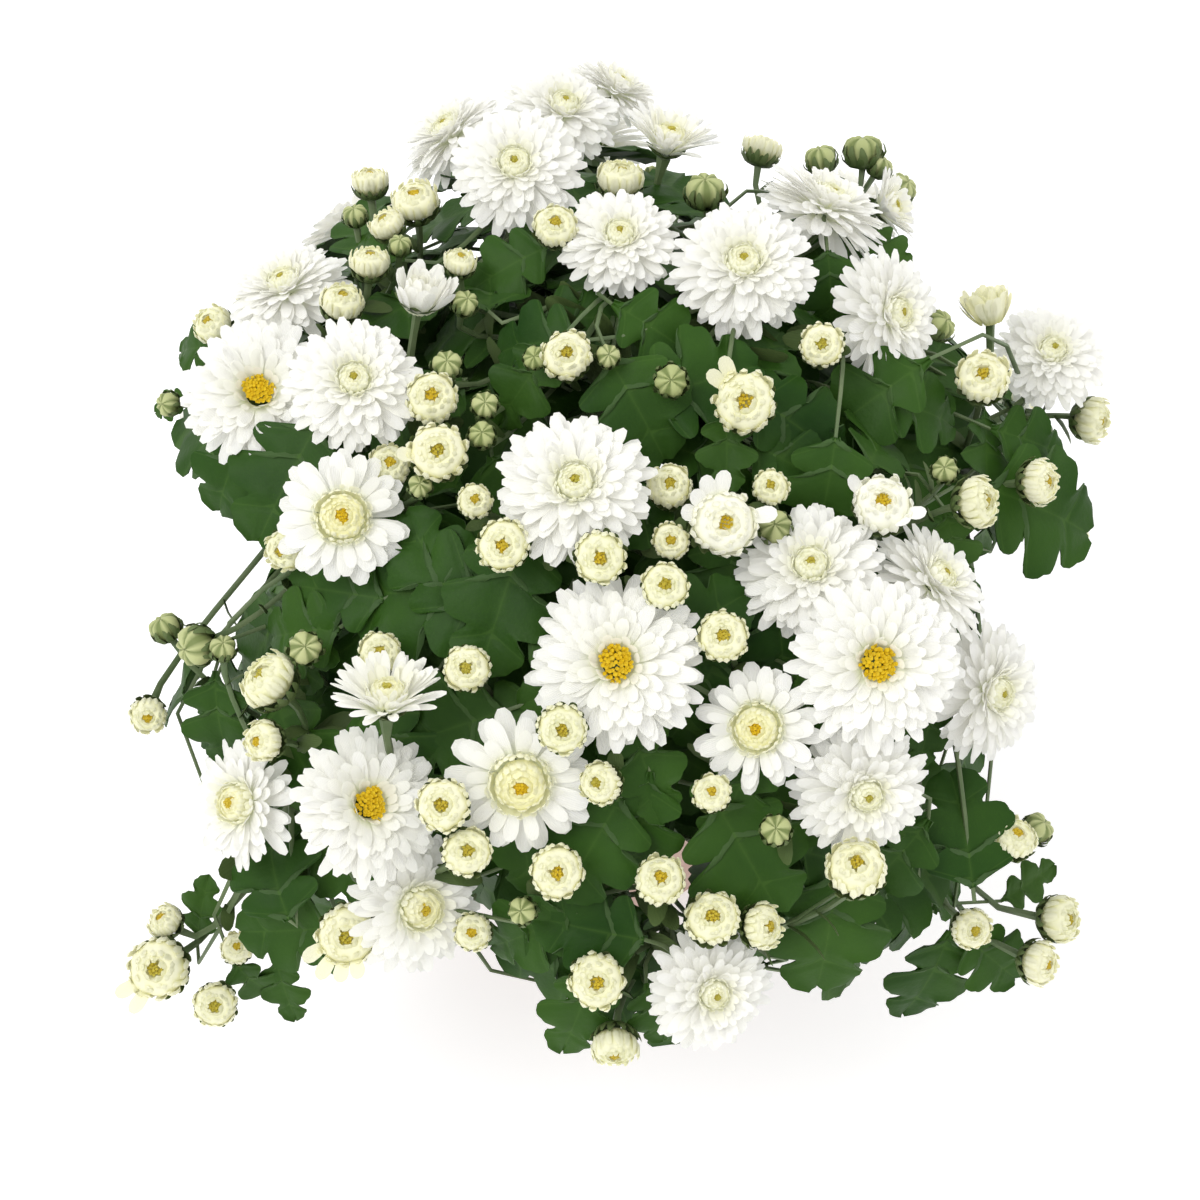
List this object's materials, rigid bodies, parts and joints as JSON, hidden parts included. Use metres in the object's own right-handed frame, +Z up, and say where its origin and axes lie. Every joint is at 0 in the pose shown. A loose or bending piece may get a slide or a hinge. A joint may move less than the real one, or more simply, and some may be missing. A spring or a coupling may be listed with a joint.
{
  "type": "pot chrysanthemum",
  "caption": "Bushy flowering plant in a tapered round pot, with layered white daisy-like heads, round cream buds and lobed dark green leaves over a dome.",
  "frame": {"origin": "middle of the underside of the pot", "axes": "+Z up out of the pot, -Y towards the side that the picture was taken from"},
  "size_m": [0.343, 0.3928, 0.3257],
  "materials": {
    "petals": "soft white petals",
    "disc": "matte orange-yellow florets",
    "foliage": "soft dark green leaves and stems",
    "pot": "matte moulded plastic",
    "soil": "moist potting soil"
  },
  "bodies": {
    "root": {"bloom_01": "petals", "bloom_02": "petals", "bloom_03": "petals", "bloom_04": "petals", "bloom_05": "petals", "bloom_06": "petals", "bloom_07": "petals", "bloom_08": "petals", "bloom_09": "petals", "bloom_10": "petals", "bloom_11": "petals", "bloom_12": "petals", "bloom_13": "petals", "bloom_14": "petals", "bloom_15": "petals", "bloom_16": "petals", "bloom_17": "petals", "bloom_18": "petals", "bloom_19": "petals", "bloom_20": "petals", "bloom_21": "petals", "bloom_22": "petals", "bloom_23": "petals", "bloom_24": "petals", "bloom_25": "petals", "bloom_26": "petals", "bloom_27": "petals", "bloom_28": "petals", "bloom_29": "petals", "bloom_30": "petals", "bloom_31": "petals", "bloom_32": "petals", "bloom_33": "petals", "bloom_34": "petals", "bloom_35": "petals", "bloom_36": "petals", "bloom_37": "petals", "bloom_38": "petals", "disc_13": "disc", "disc_17": "disc", "disc_20": "disc", "disc_25": "disc", "disc_35": "disc", "leafy_stem_1": "foliage", "leafy_stem_2": "foliage", "leafy_stem_3": "foliage", "leafy_stem_4": "foliage", "leafy_stem_5": "foliage", "leafy_stem_6": "foliage", "pot": "pot", "soil": "soil"}
  },
  "joints": []
}
